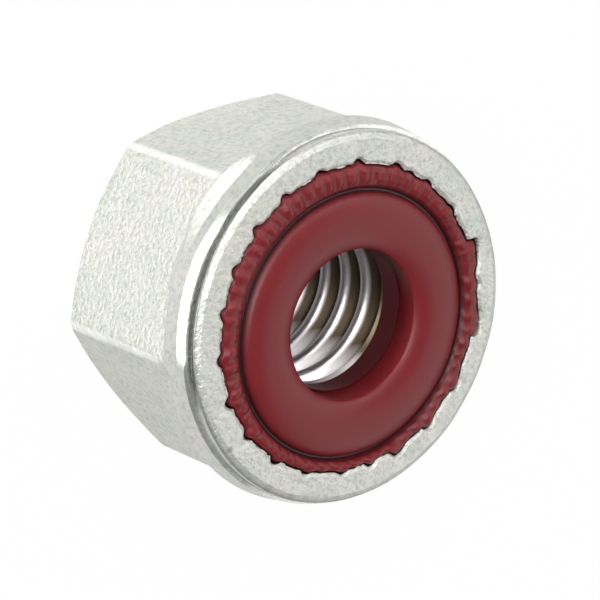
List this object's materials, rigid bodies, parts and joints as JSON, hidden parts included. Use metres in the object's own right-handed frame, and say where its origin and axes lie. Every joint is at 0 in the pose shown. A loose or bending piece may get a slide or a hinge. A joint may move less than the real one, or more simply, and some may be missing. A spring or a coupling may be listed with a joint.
{
  "type": "nylon insert lock nut",
  "caption": "Hexagonal steel lock nut with a wide round collar rolled over a red nylon ring that grips the bolt's thread.",
  "frame": {"origin": "centre of the bearing face, on the thread axis", "axes": "+Z along the thread axis from the bearing face to the nylon end, +X square to one flat of the hexagon"},
  "size_m": [0.0082, 0.0082, 0.005],
  "materials": {
    "zinc_plated_steel": "bright zinc plating over cold-formed steel, satin to glossy",
    "red_nylon": "moulded dark red nylon, satin"
  },
  "bodies": {
    "root": {"steel_nut": "zinc_plated_steel", "nylon_ring": "red_nylon"}
  },
  "joints": []
}
